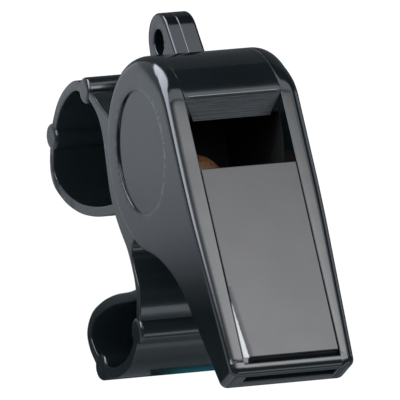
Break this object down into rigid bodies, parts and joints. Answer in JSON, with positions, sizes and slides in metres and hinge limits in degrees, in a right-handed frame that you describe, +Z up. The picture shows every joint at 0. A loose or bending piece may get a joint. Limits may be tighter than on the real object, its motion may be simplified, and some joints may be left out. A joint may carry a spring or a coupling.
{
  "type": "training whistle",
  "caption": "Pea whistle with a two-finger grip under its barrel and a lanyard lug behind it, for training dogs.",
  "frame": {"origin": "under the middle of the outline, on the surface that the two finger loops rest on", "axes": "+X across the whistle along the lanyard hole, -Y out of the mouthpiece, +Z up through the roof"},
  "size_m": [0.0202, 0.0598, 0.0473],
  "materials": {
    "body_plastic": "polished black injection moulding",
    "plate_plastic": "satin black injection moulding, slightly scratched",
    "grip_plastic": "polished black injection moulding",
    "cork": "natural cork"
  },
  "bodies": {
    "whistle": {"whistle_body": "body_plastic", "roof_plate": "plate_plastic", "finger_grip": "grip_plastic"},
    "pea": {"cork_pea": "cork"}
  },
  "joints": [
    {"name": "pea_orbit", "type": "hinge", "parent": "whistle", "child": "pea", "pos_m": [0, 0.00857, 0.0342], "axis": [1, 0, 0], "continuous": true}
  ]
}
